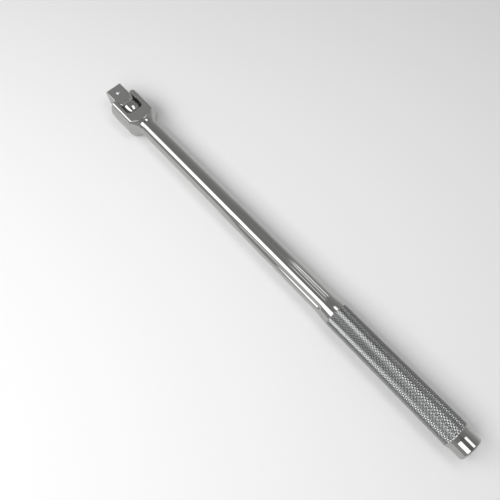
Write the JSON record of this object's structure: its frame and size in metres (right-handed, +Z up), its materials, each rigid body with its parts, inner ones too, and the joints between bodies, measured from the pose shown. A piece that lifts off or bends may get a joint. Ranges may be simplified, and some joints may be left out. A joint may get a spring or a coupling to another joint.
{
  "type": "breaker bar",
  "caption": "Flex-head breaker bar with a forked steel handle, a pivoting square drive head with a detent ball, a grooved shank and a knurled grip.",
  "frame": {"origin": "on the ground, under the middle of the bar's box", "axes": "+X from the drive head towards the grip, +Y along the hinge pin, +Z up, square to the ground faces of the fork"},
  "size_m": [0.5078, 0.038, 0.026],
  "materials": {
    "polished_chrome": "polished chrome plate on forged steel",
    "satin_chrome": "satin chrome plate",
    "pin_steel": "ground",
    "ball_steel": "hardened and polished",
    "spring_steel": "drawn wire, oiled"
  },
  "bodies": {
    "handle": {"handle": "polished_chrome", "pivot_pin": "pin_steel", "friction_spring": "spring_steel"},
    "drive_head": {"drive_head": "satin_chrome", "detent_spring": "spring_steel"},
    "friction_ball": {"friction_ball": "ball_steel"},
    "detent_ball": {"detent_ball": "ball_steel"}
  },
  "joints": [
    {"name": "flex_hinge", "type": "hinge", "parent": "handle", "child": "drive_head", "pos_m": [-0.21932, 0, 0.013], "axis": [0, 1, 0], "range_deg": [-90, 90]},
    {"name": "friction_ball_slide", "type": "slide", "parent": "handle", "child": "friction_ball", "axis": [1, 0, 0], "range_m": [0, 0.0006], "stiffness_N_per_m": 4000, "deforming": ["friction_spring"]},
    {"name": "detent_ball_slide", "type": "slide", "parent": "drive_head", "child": "detent_ball", "axis": [0, 0, -1], "range_m": [0, 0.0015], "stiffness_N_per_m": 3000, "deforming": ["detent_spring"]}
  ]
}
